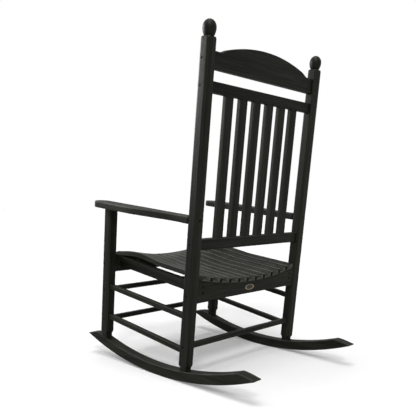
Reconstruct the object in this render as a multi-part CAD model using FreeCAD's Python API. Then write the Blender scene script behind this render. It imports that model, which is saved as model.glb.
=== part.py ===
import FreeCAD
import Part
import math
import os

V = FreeCAD.Vector
os.makedirs("parts", exist_ok=True)

# Millimetres. X is the width, the chair faces -Y, Z is up, and the floor is Z = 0.
# Left and right are those of a person sitting in the chair, so left is +X.
# The pieces are drawn round the feet and then moved back by SET_BACK, which brings
# the balance point over Y = 0, the line on which the rockers touch the floor.

SET_BACK = 4.8

# posts: square with rounded corners, all four leaning back
POST = 41.2
POST_CORNER = 8.0
FOOT_WIDTH = 30.0
FOOT_TAPER_LENGTH = 10.0
REAR_X = 301.2
REAR_Y = 117.2
REAR_LEAN = 6.06
REAR_FOOT_TAPER = 66.0
REAR_TOP = 1178.6
SHOULDER_HEIGHT = 8.0
SHOULDER_WIDTH = 34.5
FRONT_X = 314.8
FRONT_Y = -353.6
FRONT_LEAN = 5.29
FRONT_FOOT_TAPER = 112.0

# finial: a turned egg that sits on the post, with a dowel down into it
FINIAL_HEIGHT = 53.8
FINIAL_RADIUS = 23.0
FINIAL_FOOT_RADIUS = 15.0
DOWEL_RADIUS = 6.5
DOWEL_DEPTH = 24.0

# back: three rails between the rear posts, six slats between the lower two
RAIL_THICKNESS = 24.0
RAIL_REAR_FACE = 7.9
LOWER_RAIL = (481.5, 521.0)
UPPER_RAIL = (1008.5, 1046.0)
CREST_BOTTOM = 1083.5
CREST_SHOULDER = 1140.0
# corners of the left half of the crest's top (x, height, bend radius), ending in the middle
CREST_TOP = [(241.0, CREST_SHOULDER, 8.0), (212.0, 1154.0, 60.0), (0.0, 1211.2, 740.0)]
RAIL_EDGE = 2.0
BACK_SLATS = 6
BACK_SLAT_PITCH = 73.7
BACK_SLAT_WIDTH = 39.5
BACK_SLAT_THICKNESS = 17.5
BACK_SLAT_REAR_FACE = 5.0
BACK_TENON = 11.0

# seat: eleven bent slats laid side by side in a shallow dish
SEAT_SLATS = 11
SEAT_PITCH = 47.8
SEAT_SLAT_WIDTH = 39.5
SEAT_SLAT_THICKNESS = 19.0
SEAT_SLAT_EDGE = 3.0
SEAT_RISE = 27.7
SEAT_RISE_X = 258.0
# corners of the middle slat's top (y, z, bend radius), from the rear end to the nose
SEAT_TOP = [
    (178.0, 360.8, 0.0),
    (-53.4, 389.4, 200.0),
    (-220.0, 422.8, 524.0),
    (-358.6, 413.1, 36.0),
    (-372.6, 392.5, 0.0),
]
REAR_RUN, FRONT_RUN = 0, 2
HUMP = 2

# seat frame: two aprons between the posts, two between the aprons, one brace
APRON_THICKNESS = 24.0
REAR_APRON_REAR_FACE = 14.0
REAR_APRON_BOTTOM = 297.0
FRONT_APRON_MIDDLE = -8.0
FRONT_APRON_BOTTOM = 362.0
SIDE_APRON_X = 254.0
SIDE_APRON_TOP = 377.5
SIDE_APRON_HEIGHT = 37.5
SIDE_SLOPE = 0.138
BRACE_BOTTOM = 376.0

# rungs: bars with eased edges, cut to butt against the flat sides of the posts
RUNG_WIDTH = 19.0
RUNG_HEIGHT = 20.0
RUNG_EDGE = 3.5
SIDE_RUNG_UPPER = 260.0
SIDE_RUNG_LOWER = 132.2
FRONT_RUNG_UPPER = 290.2
FRONT_RUNG_LOWER = 165.2
REAR_RUNG = 135.8

# armrests: flat boards square to the rear posts, broad in front, as wide as the post behind
ARM_TOP = 613.7
ARM_THICKNESS = 25.4
ARM_EDGE = 3.0
# corners of the left armrest's outline (x, y, bend radius), clockwise from above
ARM_OUTLINE = [
    (280.6, 165.0, 0.0),
    (283.5, -379.0, 31.0),
    (359.0, -379.0, 43.0),
    (357.0, -120.0, 500.0),
    (323.0, 80.0, 350.0),
    (321.8, 165.0, 0.0),
]

# rockers: bars bent to one radius, both ends cut to a slanting point
ROCKER_RADIUS = 1267.0
ROCKER_HEIGHT = 37.6
ROCKER_WIDTH = 41.0
ROCKER_HALF_LENGTH = 450.0
ROCKER_TOP_HALF_LENGTH = 381.0
ROCKER_TIP = 4.0
ROCKER_EDGE = 3.5
ROCKER_REAR_X = 297.5
ROCKER_FRONT_X = 309.5


def leaned(y, degrees):
    """Placement of a frame that stands on the floor at y and leans back."""
    return FreeCAD.Placement(V(0, y, 0), FreeCAD.Rotation(V(1, 0, 0), -degrees))


REAR = leaned(REAR_Y, REAR_LEAN)
FRONT = leaned(FRONT_Y, FRONT_LEAN)
ARM = FreeCAD.Placement(V(0, 0, ARM_TOP), FreeCAD.Rotation(V(1, 0, 0), -REAR_LEAN))


def placed(shape, placement):
    """A copy of a shape with one more placement applied."""
    out = shape.copy()
    out.Placement = placement.multiply(out.Placement)
    return out


def block(x0, x1, y0, y1, z0, z1):
    """A box given by its limits."""
    return Part.makeBox(x1 - x0, y1 - y0, z1 - z0, V(x0, y0, z0))


def soften(shape, radius, wanted):
    """Round those edges for which the function wanted is true."""
    return shape.makeFillet(radius, [e for e in shape.Edges if wanted(e)])


def bevel(shape, size, wanted):
    """Chamfer those edges for which the function wanted is true."""
    return shape.makeChamfer(size, [e for e in shape.Edges if wanted(e)])


def mirror(shape):
    """The same piece for the other side of the chair."""
    return shape.mirror(V(0, 0, 0), V(1, 0, 0))


def largest(shape):
    """The biggest solid of a shape."""
    return max(shape.Solids, key=lambda s: s.Volume)


def bar(start, end, width, height, edge):
    """A straight bar with rounded long edges, level from side to side."""
    way = end - start
    body = block(-width / 2, width / 2, 0, way.Length, -height / 2, height / 2)
    body = soften(body, edge, lambda e: e.BoundBox.YLength > way.Length - 1)
    yaw = FreeCAD.Rotation(V(0, 0, 1), math.degrees(math.atan2(-way.x, way.y)))
    pitch = FreeCAD.Rotation(V(1, 0, 0), math.degrees(math.asin(way.z / way.Length)))
    return placed(body, FreeCAD.Placement(start, yaw.multiply(pitch)))


def rounded_path(corners):
    """Edges of an open path through (point, bend radius) corners, each bend an arc."""
    edges = []
    here = corners[0][0]
    for (before, _), (corner, radius), (after, _) in zip(corners, corners[1:], corners[2:]):
        back = (before - corner).normalize()
        on = (after - corner).normalize()
        half = back.getAngle(on) / 2
        reach = radius / math.tan(half)
        middle = corner + (back + on).normalize() * (radius / math.sin(half) - radius)
        start, end = corner + back * reach, corner + on * reach
        if start.distanceToPoint(here) > 0.001:
            edges.append(Part.makeLine(here, start))
        edges.append(Part.Arc(start, middle, end).toShape())
        here = end
    edges.append(Part.makeLine(here, corners[-1][0]))
    return edges


def line_meets(frame, off, height, slope):
    """Point where the line z = height - slope * y meets a plane of a leaned frame."""
    normal = frame.Rotation.multVec(V(0, 1, 0))
    y = (off + frame.Base.y * normal.y - height * normal.z) / (normal.y - slope * normal.z)
    return V(0, y, height - slope * y)


# posts


def squared(size, corner, low, high):
    """An upright bar of square section with round corners."""
    h = size / 2
    body = block(-h, h, -h, h, low, high)
    return soften(body, corner, lambda e: e.BoundBox.ZLength > high - low - 0.1)


def end_wire(body, top):
    """Outline of the top or the bottom face of an upright bar."""
    pick = max if top else min
    return pick(body.Faces, key=lambda f: f.CenterOfMass.z).OuterWire


def post(x, frame, foot, taper_start, top, shoulder):
    """A post on its own leaned axis, with a tapered foot and maybe a shoulder."""
    small = POST_CORNER * FOOT_WIDTH / POST
    shaft = squared(POST, POST_CORNER, taper_start, top - shoulder)
    stub = squared(FOOT_WIDTH, small, foot, taper_start - FOOT_TAPER_LENGTH)
    solids = [shaft, stub, Part.makeLoft([end_wire(stub, True), end_wire(shaft, False)], True, True)]
    if shoulder:
        cap = squared(SHOULDER_WIDTH, POST_CORNER * 0.8, top, top + 1)
        solids.append(Part.makeLoft([end_wire(shaft, True), end_wire(cap, False)], True, True))
    body = solids[0].multiFuse(solids[1:])
    body.translate(V(x, 0, 0))
    return placed(body, frame)


# rockers


def rocker():
    """The left rocker: a bent bar with slanted ends, set along the line of the feet."""
    r, inner = ROCKER_RADIUS, ROCKER_RADIUS - ROCKER_HEIGHT

    def on_arc(radius, y):
        return V(-ROCKER_WIDTH / 2, y, r - math.sqrt(radius * radius - y * y))

    low = on_arc(r, -ROCKER_HALF_LENGTH), on_arc(r, ROCKER_HALF_LENGTH)
    top = on_arc(inner, -ROCKER_TOP_HALF_LENGTH), on_arc(inner, ROCKER_TOP_HALF_LENGTH)
    tip = low[0] + V(0, 0, ROCKER_TIP), low[1] + V(0, 0, ROCKER_TIP)
    outline = Part.Wire([
        Part.Arc(low[0], on_arc(r, 0), low[1]).toShape(),
        Part.makeLine(low[1], tip[1]),
        Part.makeLine(tip[1], top[1]),
        Part.Arc(top[1], on_arc(inner, 0), top[0]).toShape(),
        Part.makeLine(top[0], tip[0]),
        Part.makeLine(tip[0], low[0]),
    ])
    body = Part.Face(outline).extrude(V(ROCKER_WIDTH, 0, 0))
    body = bevel(body, ROCKER_EDGE, lambda e: e.BoundBox.XLength < 0.01 and e.Length > 200)
    slant = (ROCKER_FRONT_X - ROCKER_REAR_X) / (REAR_Y - FRONT_Y)
    turn = FreeCAD.Rotation(V(0, 0, 1), math.degrees(math.atan(slant)))
    return placed(body, FreeCAD.Placement(V(ROCKER_REAR_X + slant * REAR_Y, -SET_BACK, 0), turn))


rocker_left = rocker()


# seat slats


def seat_side(drop, corners=SEAT_TOP):
    """Corners of the slat's side outline, moved square to the slat by drop."""
    points = [V(0, y, z) for y, z, _ in corners]
    ways = [(b - a).normalize() for a, b in zip(points, points[1:])]
    ups = [V(0, w.z, -w.y) for w in ways]
    moved = [(points[0] - ups[0] * drop, 0)]
    for point, before, after, (_, _, radius) in zip(points[1:], ups, ups[1:], corners[1:]):
        hollow = before.cross(after).x < 0
        corner = point - (before + after) * (drop / (1 + before.dot(after)))
        moved.append((corner, radius + drop if hollow else radius - drop))
    moved.append((points[-1] - ups[-1] * drop, 0))
    return moved


def on_run(run, y):
    """Point of a straight run of the slat's top at y, its direction, and the way up."""
    (y0, z0, _), (y1, z1, _) = SEAT_TOP[run:run + 2]
    along = V(0, y1 - y0, z1 - z0).normalize()
    return V(0, y, z0 + (z1 - z0) * (y - y0) / (y1 - y0)), along, V(0, along.z, -along.y)


def on_hump():
    """The same three at the middle of the slat's hump."""
    before, corner, after = [V(0, y, z) for y, z, _ in SEAT_TOP[HUMP - 1:HUMP + 2]]
    radius = SEAT_TOP[HUMP][2]
    back = (before - corner).normalize()
    on = (after - corner).normalize()
    down = (back + on).normalize()
    point = corner + down * (radius / math.sin(back.getAngle(on) / 2) - radius)
    return point, (back - on).normalize(), down * -1


def bed(where, drop, low, high):
    """A block from x = low to high whose underside is the middle slat's, or drop below it."""
    point, along, up = where
    seat = point - up * (SEAT_SLAT_THICKNESS + drop)
    corners = [seat + along * a + up * b for a, b in ((-60, 0), (60, 0), (60, 90), (-60, 90))]
    face = Part.Face(Part.makePolygon(corners + [corners[0]]))
    face.translate(V(low, 0, 0))
    return face.extrude(V(high - low, 0, 0))


def seat_place(number):
    """Where a slat goes: moved sideways, up the dish, and rolled to face the sitter."""
    x = (number - (SEAT_SLATS - 1) / 2) * SEAT_PITCH
    rise = SEAT_RISE * (x / SEAT_RISE_X) ** 2
    roll = math.degrees(math.atan(2 * SEAT_RISE * x / SEAT_RISE_X ** 2))
    middle = V(0, 0, 386.0)
    turn = FreeCAD.Placement(V(0, 0, 0), FreeCAD.Rotation(V(0, 1, 0), -roll), middle)
    return FreeCAD.Placement(V(x, 0, rise), FreeCAD.Rotation()).multiply(turn)


def is_top_edge(edge):
    """True for the long upper edges of the middle slat, which run on over the nose."""
    if edge.BoundBox.XLength > 0.01 or edge.Length < 3:
        return False
    middle = edge.valueAt((edge.FirstParameter + edge.LastParameter) / 2)
    return min(e.distToShape(Part.Vertex(V(0, middle.y, middle.z)))[0] for e in top_edges) < 0.01


top_edges = rounded_path(seat_side(0))
under_edges = rounded_path(seat_side(SEAT_SLAT_THICKNESS))
caps = [
    Part.makeLine(seat_side(0)[end][0], seat_side(SEAT_SLAT_THICKNESS)[end][0]) for end in (0, -1)
]
side_wire = Part.Wire(Part.__sortEdges__(top_edges + under_edges + caps))
middle_slat = Part.Face(side_wire).extrude(V(SEAT_SLAT_WIDTH, 0, 0))
middle_slat.translate(V(-SEAT_SLAT_WIDTH / 2, 0, 0))
middle_slat = bevel(middle_slat, SEAT_SLAT_EDGE, is_top_edge)
seat_places = [seat_place(n) for n in range(SEAT_SLATS)]
seat_slats = [placed(middle_slat, p) for p in seat_places]


def bedded(board, where, drop=0):
    """A board with its top planed in flats, one for each slat, the outer ones running on."""
    half = SEAT_PITCH / 2 + 1.5
    for number, place in enumerate(seat_places):
        low = -half - (40 if number == 0 else 0)
        high = half + (40 if number == SEAT_SLATS - 1 else 0)
        board = board.cut(placed(bed(where, drop, low, high), place))
    return board


# seat frame

REAR_HALF = REAR_X - POST / 2
FRONT_HALF = FRONT_X - POST / 2
half_apron = APRON_THICKNESS / 2

rear_apron_front = REAR_APRON_REAR_FACE - APRON_THICKNESS
front_apron_front = FRONT_APRON_MIDDLE - half_apron
front_apron_rear = FRONT_APRON_MIDDLE + half_apron

rear_board = block(-REAR_HALF, REAR_HALF, rear_apron_front, REAR_APRON_REAR_FACE, REAR_APRON_BOTTOM, 378)
rear_apron = bedded(placed(rear_board, REAR), on_run(REAR_RUN, 150))
front_board = block(-FRONT_HALF, FRONT_HALF, front_apron_front, front_apron_rear, FRONT_APRON_BOTTOM, 433)
front_apron = bedded(placed(front_board, FRONT), on_run(FRONT_RUN, -325))


def side_apron(x):
    """A sloping board from the front apron to the rear apron."""
    low = SIDE_APRON_TOP - SIDE_APRON_HEIGHT
    corners = [
        line_meets(FRONT, front_apron_rear, low, SIDE_SLOPE),
        line_meets(REAR, rear_apron_front, low, SIDE_SLOPE),
        line_meets(REAR, rear_apron_front, SIDE_APRON_TOP, SIDE_SLOPE),
        line_meets(FRONT, front_apron_rear, SIDE_APRON_TOP, SIDE_SLOPE),
    ]
    body = Part.Face(Part.makePolygon(corners + [corners[0]])).extrude(V(APRON_THICKNESS, 0, 0))
    body.translate(V(x - half_apron, 0, 0))
    return bedded(body, on_run(FRONT_RUN, -325))


brace_half = SIDE_APRON_X - half_apron
hump = on_hump()
brace_y = (hump[0] - hump[2] * SEAT_SLAT_THICKNESS).y
# the slats arch over the brace, so its flats lie lower by the height of that small arch
hump_hollow = SEAT_TOP[HUMP][2] - SEAT_SLAT_THICKNESS
arch = hump_hollow - math.sqrt(hump_hollow ** 2 - (half_apron + 1) ** 2)
brace_board = block(-brace_half, brace_half, brace_y - half_apron, brace_y + half_apron, BRACE_BOTTOM, 460)
seat_brace = bedded(brace_board, hump, arch)


# back


def rail(bottom, top):
    """A straight rail between the rear posts."""
    body = block(-REAR_HALF, REAR_HALF, RAIL_REAR_FACE - RAIL_THICKNESS, RAIL_REAR_FACE, bottom, top)
    return soften(body, RAIL_EDGE, lambda e: e.BoundBox.XLength > 100)


def crest():
    """The top rail: level beside the posts, with one long arch between."""
    half = REAR_HALF
    left = [(V(x, 0, z), r) for x, z, r in CREST_TOP]
    right = [(V(-p.x, 0, p.z), r) for p, r in reversed(left[:-1])]
    ends = [V(half, 0, CREST_SHOULDER), V(-half, 0, CREST_SHOULDER)]
    top = rounded_path([(ends[0], 0)] + left + right + [(ends[1], 0)])
    low = [V(-half, 0, CREST_BOTTOM), V(half, 0, CREST_BOTTOM)]
    lines = [Part.makeLine(ends[1], low[0]), Part.makeLine(low[0], low[1]), Part.makeLine(low[1], ends[0])]
    body = Part.Face(Part.Wire(top + lines)).extrude(V(0, RAIL_THICKNESS, 0))
    body.translate(V(0, RAIL_REAR_FACE - RAIL_THICKNESS, 0))
    return bevel(body, RAIL_EDGE, lambda e: e.BoundBox.YLength < 0.01 and e.CenterOfMass.x ** 2 < 270 ** 2)


def back_slat(number):
    """An upright slat that runs on into both rails by the depth of its tenons."""
    x = (number - (BACK_SLATS - 1) / 2) * BACK_SLAT_PITCH
    half = BACK_SLAT_WIDTH / 2
    front = BACK_SLAT_REAR_FACE - BACK_SLAT_THICKNESS
    bottom, top = LOWER_RAIL[1] - BACK_TENON, UPPER_RAIL[0] + BACK_TENON
    body = block(x - half, x + half, front, BACK_SLAT_REAR_FACE, bottom, top)
    return bevel(body, 2.5, lambda e: e.BoundBox.ZLength > 100)


flat_slats = [back_slat(n) for n in range(BACK_SLATS)]
mortises = Part.makeCompound(flat_slats)


# rungs


def across(frame, half, height):
    """A rung from post to post across the chair."""
    middle = frame.multVec(V(0, 0, height))
    reach = V(half, 0, 0)
    return bar(middle - reach, middle + reach, RUNG_WIDTH, RUNG_HEIGHT, RUNG_EDGE)


def side_rung(height):
    """The left rung that runs down from a front post to a rear post."""
    ends = []
    for frame, off, x in ((FRONT, 10 - POST / 2, FRONT_X), (REAR, POST / 2 - 10, REAR_X)):
        end = line_meets(frame, off, height, SIDE_SLOPE)
        end.x = x
        ends.append(end)
    rung = bar(ends[0], ends[1], RUNG_WIDTH, RUNG_HEIGHT, RUNG_EDGE)
    behind_front = placed(block(0, 500, POST / 2, 900, -100, 600), FRONT)
    before_rear = placed(block(0, 500, -900, -POST / 2, -100, 600), REAR)
    return rung.common(behind_front).common(before_rear)


upper_rung = side_rung(SIDE_RUNG_UPPER)
lower_rung = side_rung(SIDE_RUNG_LOWER)
rungs = {
    "front_rung_upper": across(FRONT, FRONT_HALF, FRONT_RUNG_UPPER),
    "front_rung_lower": across(FRONT, FRONT_HALF, FRONT_RUNG_LOWER),
    "rear_rung": across(REAR, REAR_HALF, REAR_RUNG),
    "side_rung_upper_left": upper_rung,
    "side_rung_upper_right": mirror(upper_rung),
    "side_rung_lower_left": lower_rung,
    "side_rung_lower_right": mirror(lower_rung),
}


# armrests


def armrest():
    """The left armrest: a board whose outer edge swells towards the front."""
    corners = [(V(x, y, 0), r) for x, y, r in ARM_OUTLINE]
    back = Part.makeLine(corners[-1][0], corners[0][0])
    body = Part.Face(Part.Wire(rounded_path(corners) + [back])).extrude(V(0, 0, -ARM_THICKNESS))
    body = bevel(body, ARM_EDGE, lambda e: e.BoundBox.ZLength < 0.01 and e.CenterOfMass.y < 160)
    behind = placed(block(0, 500, -POST / 2, 200, 300, 900), REAR)
    return placed(body, ARM).cut(behind)


arm_left = armrest()


# the posts stand on the rockers and carry the armrests

above_arm = placed(block(0, 500, -700, 300, -ARM_THICKNESS, 300), ARM)
rear_post = post(REAR_X, REAR, 30, REAR_FOOT_TAPER, REAR_TOP, SHOULDER_HEIGHT)
front_post = post(FRONT_X, FRONT, 70, FRONT_FOOT_TAPER, 700, 0)
socket = Part.makeCylinder(DOWEL_RADIUS, DOWEL_DEPTH + 2, V(REAR_X, 0, REAR_TOP - DOWEL_DEPTH))
rear_post = rear_post.cut(placed(socket, REAR)).cut(rocker_left)
front_post = front_post.cut(above_arm).cut(rocker_left)


def finial():
    """A turned egg on a dowel: half a ball above, one long arc down to the foot."""
    r, foot, d = FINIAL_RADIUS, FINIAL_FOOT_RADIUS, DOWEL_RADIUS
    belly = FINIAL_HEIGHT - r
    long_radius = (belly ** 2 / (r - foot) + r - foot) / 2
    bulge = r - long_radius + math.sqrt(long_radius ** 2 - (belly / 2) ** 2)
    top = V(0, 0, FINIAL_HEIGHT)
    corners = [V(0, 0, 2 - DOWEL_DEPTH), V(d, 0, 2 - DOWEL_DEPTH), V(d, 0, 0), V(foot, 0, 0)]
    lines = [Part.makeLine(a, b) for a, b in zip(corners, corners[1:])]
    lines.append(Part.Arc(V(foot, 0, 0), V(bulge, 0, belly / 2), V(r, 0, belly)).toShape())
    lines.append(Part.Arc(V(r, 0, belly), V(r * math.sqrt(0.5), 0, belly + r * math.sqrt(0.5)), top).toShape())
    lines.append(Part.makeLine(top, corners[0]))
    body = Part.Face(Part.Wire(lines)).revolve(V(0, 0, 0), V(0, 0, 1), 360)
    body.translate(V(REAR_X, 0, REAR_TOP))
    return placed(body, REAR)


# every piece under its name

pieces = {
    "crest_rail": placed(crest(), REAR),
    "upper_back_rail": placed(rail(*UPPER_RAIL).cut(mortises), REAR),
    "lower_back_rail": placed(rail(*LOWER_RAIL).cut(mortises), REAR),
    "front_apron": front_apron,
    "rear_apron": rear_apron,
    "seat_brace": seat_brace,
    "side_apron_left": side_apron(SIDE_APRON_X),
    "side_apron_right": side_apron(-SIDE_APRON_X),
}
pieces.update(rungs)
sided = {
    "rear_post": rear_post,
    "front_post": front_post,
    "armrest": arm_left,
    "rocker": rocker_left,
}
for name, shape in sided.items():
    pieces[name + "_left"] = shape
    pieces[name + "_right"] = mirror(shape)
for number, slat in enumerate(flat_slats):
    pieces["back_slat_%d" % (number + 1)] = placed(slat, REAR)
for number, slat in enumerate(seat_slats):
    pieces["seat_slat_%02d" % (number + 1)] = slat
pieces = {name: largest(shape) for name, shape in pieces.items()}
pieces["finials"] = Part.makeCompound([finial(), mirror(finial())])

for name, shape in pieces.items():
    shape = placed(shape, FreeCAD.Placement(V(0, SET_BACK, 0), FreeCAD.Rotation()))
    shape.exportStep("parts/%s.step" % name)
print("pieces", len(pieces))
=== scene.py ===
# %% [markdown]
# A porch rocking chair of black poly lumber
#
# The chair copies a wooden rocker, but every bar is polyethylene board, coloured
# right through and pressed with a fine wood grain. The joinery comes from the packed
# frame. This lesson gives the boards their rounded edges, bends and screws, and the
# plastic its look. Lengths are metres, Z is up, the sitter faces -Y, and the sitter's
# left is +X.

import bpy
import numpy as np
from mathutils import Matrix


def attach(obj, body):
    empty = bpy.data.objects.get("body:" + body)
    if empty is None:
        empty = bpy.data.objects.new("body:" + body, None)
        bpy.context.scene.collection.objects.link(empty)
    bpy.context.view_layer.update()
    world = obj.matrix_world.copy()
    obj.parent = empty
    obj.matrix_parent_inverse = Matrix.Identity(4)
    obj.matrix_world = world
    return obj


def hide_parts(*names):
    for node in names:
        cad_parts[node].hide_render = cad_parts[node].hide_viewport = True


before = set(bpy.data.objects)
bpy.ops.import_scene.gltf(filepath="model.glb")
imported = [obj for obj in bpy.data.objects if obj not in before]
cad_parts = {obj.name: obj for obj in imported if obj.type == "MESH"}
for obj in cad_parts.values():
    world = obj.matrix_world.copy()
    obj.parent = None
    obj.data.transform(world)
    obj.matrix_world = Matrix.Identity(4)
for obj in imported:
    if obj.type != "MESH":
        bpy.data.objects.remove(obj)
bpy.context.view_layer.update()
MM = 0.001
print(len(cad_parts), "nodes in the frame")

# %% [markdown]
# Colours are noted as sRGB hex, as a paint chart gives them. The renderer works in
# linear light, so one function converts them. A second one adds a shader node with
# its settings and its links in a single call, which keeps each material readable.

# %% Colour and node helpers


def linear(hex_colour):
    """sRGB hex to linear RGBA: each channel is (c + 0.055) / 1.055 to the power 2.4."""
    channels = np.array([int(hex_colour[i:i + 2], 16) for i in (1, 3, 5)]) / 255
    low = channels / 12.92
    high = ((channels + 0.055) / 1.055) ** 2.4
    return tuple(np.where(channels <= 0.04045, low, high)) + (1.0,)


def add_node(tree, kind, links=None, **settings):
    """A shader node: settings are its properties, or its inputs by position such as i2."""
    node = tree.nodes.new("ShaderNode" + kind)
    for name, value in settings.items():
        if name[0] == "i" and name[1:].isdigit():
            node.inputs[int(name[1:])].default_value = value
        else:
            setattr(node, name, value)
    for socket, source in (links or {}).items():
        tree.links.new(source, node.inputs[socket])
    return node


def new_material(name, roughness, ior=None):
    """A material with one Principled shader, and the tree and shader to build on.

    A metal is given no IOR and keeps the shader's own.
    """
    material = bpy.data.materials.new(name)
    material.use_nodes = True
    shader = material.node_tree.nodes["Principled BSDF"]
    shader.inputs["Roughness"].default_value = roughness
    if ior:
        shader.inputs["IOR"].default_value = ior
    return material, material.node_tree, shader


print("middle grey #808080 is %.3f in linear light" % linear("#808080")[0])

# %% [markdown]
# Poly lumber is high-density polyethylene with black pigment. The mould presses a
# shallow oak-like grain into it: streaks under a millimetre wide and several
# centimetres long. The pigment is a warm near-black. The skin is a dull satin that goes
# pale where it is seen at a low angle. Handling polishes the rounded edges a little,
# which makes them less rough, and their colour is lightened towards pale grey as a
# painted highlight. Real streaks would vanish at this distance, so they are drawn 2 mm wide.
# The grain runs along each board, so one material is made for each of five directions.

# %% Poly-lumber board

STREAK_WIDTH = 2.0 * MM
STREAK_LENGTH = 90 * MM
CLOUD_WIDTH = 14 * MM
GROOVE_DEPTH = 0.6 * MM
BOARD_DARK = "#0b0c07"
BOARD_LIGHT = "#2a2b22"
# Pale grey that is painted onto the rounded edges as a highlight.
BOARD_EDGE_HIGHLIGHT = "#8a8b80"
POLYETHYLENE_IOR = 1.5
SKIN_SPECULAR = 0.22
DULL_ROUGHNESS, SHINY_ROUGHNESS = 0.62, 0.40
MEAN_ROUGHNESS = 0.5
EDGE_POLISH = 0.08
GROOVE_STRENGTH = 0.8
STREAK_DETAIL, STREAK_RAGGEDNESS = 3, 0.6
CLOUD_DETAIL = 2
STREAK_RANGE = (0.3, 0.7)
TONE_RANGE = (0.14, 0.40)
# Low and high strength of the painted edge highlight, in patches along the streaks.
HIGHLIGHT_RANGE = (0.35, 0.65)


def board_material(name, grain):
    """Noise squeezed along the grain: object coordinates turned so that X runs that way.

    A cell of the noise is about two streaks wide, so its scale is 0.5 / streak width.
    """
    material, tree, shader = new_material(name, MEAN_ROUGHNESS, POLYETHYLENE_IOR)
    shader.inputs["Specular IOR Level"].default_value = SKIN_SPECULAR
    grain = np.array(grain, float) / np.linalg.norm(grain)
    yaw = -np.arctan2(grain[1], grain[0])
    pitch = np.arcsin(grain[2])
    place = add_node(tree, "TexCoord").outputs["Object"]
    flat = add_node(tree, "Mapping", {"Vector": place}, i2=(0, 0, yaw))
    level = add_node(tree, "Mapping", {"Vector": flat.outputs[0]}, i2=(0, pitch, 0))
    squeeze = (STREAK_WIDTH / STREAK_LENGTH, 1, 1)
    squeezed = add_node(tree, "Mapping", {"Vector": level.outputs[0]}, i3=squeeze)
    along = {"Vector": squeezed.outputs[0]}
    fine = {"i2": 0.5 / STREAK_WIDTH, "i3": STREAK_DETAIL, "i4": STREAK_RAGGEDNESS}
    streak = add_node(tree, "TexNoise", along, **fine).outputs["Fac"]
    clouds = add_node(tree, "TexNoise", along, i2=0.5 / CLOUD_WIDTH, i3=CLOUD_DETAIL)
    both = add_node(tree, "Math", {0: streak, 1: clouds.outputs["Fac"]}, operation="MULTIPLY")
    tone = add_node(tree, "ValToRGB", {"Fac": both.outputs[0]})
    shades = zip(tone.color_ramp.elements, TONE_RANGE, (BOARD_DARK, BOARD_LIGHT))
    for stop, stop_place, shade in shades:
        stop.position = stop_place
        stop.color = linear(shade)
    # Painted highlight: where the edge value is high, the colour is mixed towards the pale edge
    # grey, in patches along the streaks. The same value lowers the roughness, which is the polish
    # of handled edges.
    edge = add_node(tree, "Attribute", attribute_name="edge").outputs["Fac"]
    low, high = STREAK_RANGE
    bare, full_highlight = HIGHLIGHT_RANGE
    patchy_highlight = add_node(tree, "MapRange", {"Value": streak}, i1=low, i2=high, i3=bare, i4=full_highlight)
    painted_edge_highlight = add_node(tree, "Math", {0: edge, 1: patchy_highlight.outputs[0]}, operation="MULTIPLY")
    mixed = {0: painted_edge_highlight.outputs[0], 1: tone.outputs["Color"]}
    colour = add_node(tree, "MixRGB", mixed, i2=linear(BOARD_EDGE_HIGHLIGHT))
    gloss = {"i1": low, "i2": high, "i3": DULL_ROUGHNESS, "i4": SHINY_ROUGHNESS}
    dull = add_node(tree, "MapRange", {"Value": streak}, **gloss)
    polish = {0: edge, 2: dull.outputs[0]}
    rough = add_node(tree, "Math", polish, operation="MULTIPLY_ADD", i1=-EDGE_POLISH)
    grooves = add_node(tree, "Bump", {"Height": streak}, i0=GROOVE_STRENGTH, i1=GROOVE_DEPTH)
    tree.links.new(colour.outputs["Color"], shader.inputs["Base Color"])
    tree.links.new(rough.outputs[0], shader.inputs["Roughness"])
    tree.links.new(grooves.outputs["Normal"], shader.inputs["Normal"])
    return material


streak_mm = (STREAK_WIDTH / MM, STREAK_LENGTH / MM)
print("streaks of %.0f by %.0f mm in the boards" % streak_mm)

# %% [markdown]
# The posts lean back a few degrees and the side boards slope with them, so the upright
# and sloping grains are turned by the same angles. Each node of the frame then gets the
# board whose grain runs its way, which the node's name tells.

# %% Dress the frame

REAR_LEAN = np.radians(6.06)
FRONT_LEAN = np.radians(5.29)
SIDE_SLOPE = 0.138
up_rear = np.array([0, np.sin(REAR_LEAN), np.cos(REAR_LEAN)])
up_front = np.array([0, np.sin(FRONT_LEAN), np.cos(FRONT_LEAN)])
board = {
    "across": board_material("poly_lumber_grain_across", (1, 0, 0)),
    "deep": board_material("poly_lumber_grain_front_to_back", (0, 1, 0)),
    "sloping": board_material("poly_lumber_grain_sloping", (0, 1, -SIDE_SLOPE)),
    "rear": board_material("poly_lumber_grain_rear_posts", up_rear),
    "front": board_material("poly_lumber_grain_front_posts", up_front),
}
GRAIN_BY_NAME = {
    "rear_post": "rear",
    "back_slat": "rear",
    "finials": "rear",
    "front_post": "front",
    "side_rung": "sloping",
    "side_apron": "sloping",
    "armrest": "sloping",
    "seat_slat": "deep",
    "rocker": "deep",
}


def grain_of(node):
    """The board material of a node, from the kind of board in its name."""
    for start, grain in GRAIN_BY_NAME.items():
        if node.startswith(start):
            return board[grain]
    return board["across"]


for name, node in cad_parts.items():
    node.data.materials.clear()
    node.data.materials.append(grain_of(name))
print("dressed", len(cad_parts), "nodes in", len(board), "grain directions")

# %% [markdown]
# Most of the chair is bars with rounded edges. A bar is a rounded rectangle carried
# along a path: one parameter runs round the section, the other along the path. Each
# point of a section also has an edge value, one in the middle of a rounded corner and
# none on the flats. The material makes those edges less rough, for the polish of
# handled edges, and lightens their colour towards pale grey as a painted highlight.

# %% A rounded section

ARC_STEPS = 5
CORNER = np.linspace(0, np.pi / 2, ARC_STEPS + 1)
EDGE_OF_SECTION = np.tile(np.sin(2 * CORNER), 4)
# How much polish and painted highlight the rounded edges get: on most bars, on the seat slats and
# on the posts.
LIGHT_POLISH_AND_HIGHLIGHT, SEAT_POLISH_AND_HIGHLIGHT, POST_POLISH_AND_HIGHLIGHT = 0.2, 1.0, 0.06


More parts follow.
